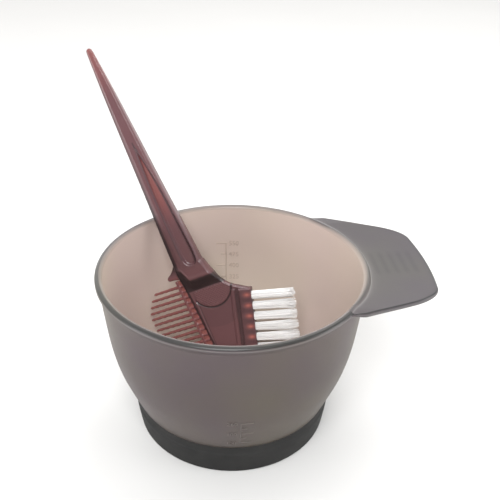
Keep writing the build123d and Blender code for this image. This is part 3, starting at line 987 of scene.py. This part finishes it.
def tortoise_plastic():
    """Glossy red brown plastic: painted shade where it is thick, a painted red glow where it is thin."""
    m = Nodes("tortoise_plastic")
    tone = m.attribute("tone")
    body = m.ramp(tone, [(0.0, (0.009, 0.003, 0.005)), (0.3, (0.110, 0.048, 0.054)),
                         (0.55, (0.20, 0.068, 0.068)), (0.8, (0.31, 0.105, 0.092)),
                         (1.0, (0.48, 0.16, 0.13))])
    skin = m.add("BsdfPrincipled", IOR=1.5, Coat_Weight=0.35, Coat_Roughness=0.12)
    m.link(body, skin, "Base Color")
    m.link(m.scaled(m.noise(160.0), 0.26, 0.40), skin, "Roughness")
    m.link(m.bump(m.noise(900.0, 2.0), 0.05, 0.0002), skin, "Normal")
    return m.finish(m.let_light_through(skin, body, m.scaled(tone, 0.04, 0.45)))


def white_nylon():
    """Semi clear white nylon filament."""
    m = Nodes("white_nylon")
    tone = m.ramp(m.noise(900.0), [(0.3, (0.95, 0.95, 0.95)), (0.7, (0.98, 0.98, 0.975))])
    skin = m.add("BsdfPrincipled", IOR=1.53)
    m.link(tone, skin, "Base Color")
    m.link(m.scaled(m.noise(2500.0), 0.28, 0.42), skin, "Roughness")
    return m.finish(m.let_light_through(skin, tone, 0.3))


def anchor_steel():
    """Flattened steel wire with drawn scratches."""
    m = Nodes("anchor_steel")
    tone = m.ramp(m.noise(1500.0), [(0.3, (0.42, 0.42, 0.43)), (0.7, (0.60, 0.60, 0.61))])
    skin = m.add("BsdfPrincipled", Metallic=1.0)
    m.link(tone, skin, "Base Color")
    m.link(m.scaled(m.noise(3000.0), 0.25, 0.45), skin, "Roughness")
    m.link(m.bump(m.noise(4000.0, 2.0), 0.1, 0.0001), skin, "Normal")
    return m.finish(skin.outputs["BSDF"])


def finish_piece(obj, material, body, slot, *nodes):
    """Gives a piece its material and the body it rides on, and hides the CAD nodes it stands for."""
    obj.data.materials.clear()
    obj.data.materials.append(material)
    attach(obj, body)
    if nodes:
        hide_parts(*nodes)


# ---------------------------------------------------------------- the object
smoke, rubber, brown, nylon, steel = (smoky_plastic(), base_rubber(), tortoise_plastic(),
                                      white_nylon(), anchor_steel())
finish_piece(build_bowl(), smoke, "bowl", "smoke_plastic", "bowl")
finish_piece(build_scale("inside", INSIDE_HEIGHTS, INSIDE_NUMBERS, -1), smoke, "bowl", "smoke_plastic")
finish_piece(build_scale("outside", OUTSIDE_HEIGHTS, OUTSIDE_NUMBERS, 1), smoke, "bowl", "smoke_plastic")
finish_piece(build_tab_ribs(), smoke, "bowl", "smoke_plastic")
finish_piece(build_ring(), rubber, "bowl", "base_rubber", "base_ring")
finish_piece(build_brush(), brown, "brush", "brown_plastic", "brush_body")
for tuft in range(TUFT_COUNT):
    finish_piece(build_tuft(tuft), nylon, "brush", "bristle_nylon", f"bristle_tuft_{tuft + 1}")
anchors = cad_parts["tuft_anchors"]
anchors.data.materials.clear()
anchors.data.materials.append(steel)


# ---------------------------------------------------------------- floor, light and camera
# places and sizes in metres, powers in watts
FLOOR_HALF_MM = 3000.0
WORLD_FRONT, WORLD_BACK, WORLD_CURVE = 0.25, 3.0, 2.0      # light strengths, and how late it grows
LIGHT_AIM = (0, 0, 0.05)
LIGHTS = [  # name, place, size, power, colour
    ("key", (0.4, 0.5, 1.35), 0.9, 8.0, (1.0, 0.985, 0.97)),
    ("front", (-0.2, -0.95, 1.2), 0.9, 25.0, (1, 1, 1)),
    ("left", (-1.2, -0.35, 0.25), 0.7, 9.0, (1, 1, 1)),
    ("right", (1.2, -0.35, 0.25), 0.7, 10.0, (1, 1, 1)),
]
CAMERA_PLACE = (-0.0208, -0.2972, 0.2717)
CAMERA_HEADING, CAMERA_PITCH, CAMERA_ROLL = math.radians(5.58), math.radians(30.05), 0.021
CAMERA_LENS, SENSOR_WIDTH = 50.4, 36.0                     # millimetres
CLIP_START, CLIP_END = 0.01, 20.0


def build_floor():
    """A wide sheet of slightly uneven pale paper."""
    a = FLOOR_HALF_MM
    floor = new_object("floor", [(-a, -a, 0), (a, -a, 0), (a, a, 0), (-a, a, 0)], [(0, 1, 2, 3)])
    m = Nodes("paper_floor")
    skin = m.add("BsdfPrincipled", Roughness=0.9)
    tone = m.ramp(m.noise(3.0), [(0.3, (0.55, 0.55, 0.545)), (0.7, (0.565, 0.565, 0.56))])
    m.link(tone, skin, "Base Color")
    floor.data.materials.append(m.finish(skin.outputs["BSDF"]))


def build_world():
    """A white studio, brighter behind the object than in front of it."""
    world = bpy.data.worlds.new("studio")
    world.use_nodes = True
    bpy.context.scene.world = world
    nodes, links = world.node_tree.nodes, world.node_tree.links
    nodes.clear()
    place = nodes.new("ShaderNodeTexCoord")
    split = nodes.new("ShaderNodeSeparateXYZ")
    links.new(place.outputs["Generated"], split.inputs["Vector"])
    # the direction's Y, from -1 in front to 1 behind, is brought to 0..1 and bent
    share = nodes.new("ShaderNodeMath")
    share.operation = "MULTIPLY_ADD"
    share.inputs[1].default_value = share.inputs[2].default_value = 0.5
    links.new(split.outputs["Y"], share.inputs[0])
    curve = nodes.new("ShaderNodeMath")
    curve.operation = "POWER"
    curve.inputs[1].default_value = WORLD_CURVE
    links.new(share.outputs["Value"], curve.inputs[0])
    strength = nodes.new("ShaderNodeMapRange")
    strength.inputs["To Min"].default_value = WORLD_FRONT
    strength.inputs["To Max"].default_value = WORLD_BACK
    links.new(curve.outputs["Value"], strength.inputs["Value"])
    back = nodes.new("ShaderNodeBackground")
    back.inputs["Color"].default_value = (1.0, 0.99, 0.98, 1)
    links.new(strength.outputs["Result"], back.inputs["Strength"])
    out = nodes.new("ShaderNodeOutputWorld")
    links.new(back.outputs["Background"], out.inputs["Surface"])


def add_light(name, place, size, power, colour):
    """A round soft light that faces the bowl."""
    lamp = bpy.data.lights.new(name, "AREA")
    lamp.shape, lamp.size, lamp.energy, lamp.color = "DISK", size, power, colour
    obj = bpy.data.objects.new(name, lamp)
    obj.location = place
    obj.rotation_euler = (Vector(LIGHT_AIM) - Vector(place)).to_track_quat("-Z", "Y").to_euler()
    bpy.context.scene.collection.objects.link(obj)


def add_camera():
    """A camera that looks down at the bowl from the -Y side, turned a little about its axis."""
    level_share, drop = math.cos(CAMERA_PITCH), math.sin(CAMERA_PITCH)
    forward = Vector((math.sin(CAMERA_HEADING) * level_share,
                      math.cos(CAMERA_HEADING) * level_share, -drop))
    level = forward.cross(Vector((0, 0, 1))).normalized()
    upright = level.cross(forward)
    right = level * math.cos(CAMERA_ROLL) + upright * math.sin(CAMERA_ROLL)
    up = upright * math.cos(CAMERA_ROLL) - level * math.sin(CAMERA_ROLL)
    data = bpy.data.cameras.new("camera")
    data.lens, data.sensor_width = CAMERA_LENS, SENSOR_WIDTH
    data.clip_start, data.clip_end = CLIP_START, CLIP_END
    obj = bpy.data.objects.new("camera", data)
    obj.matrix_world = Matrix((right, up, -forward)).transposed().to_4x4()
    obj.location = CAMERA_PLACE
    bpy.context.scene.collection.objects.link(obj)
    bpy.context.scene.camera = obj


build_floor()
build_world()
for light in LIGHTS:
    add_light(*light)
add_camera()
bpy.context.scene.view_settings.view_transform = "Standard"
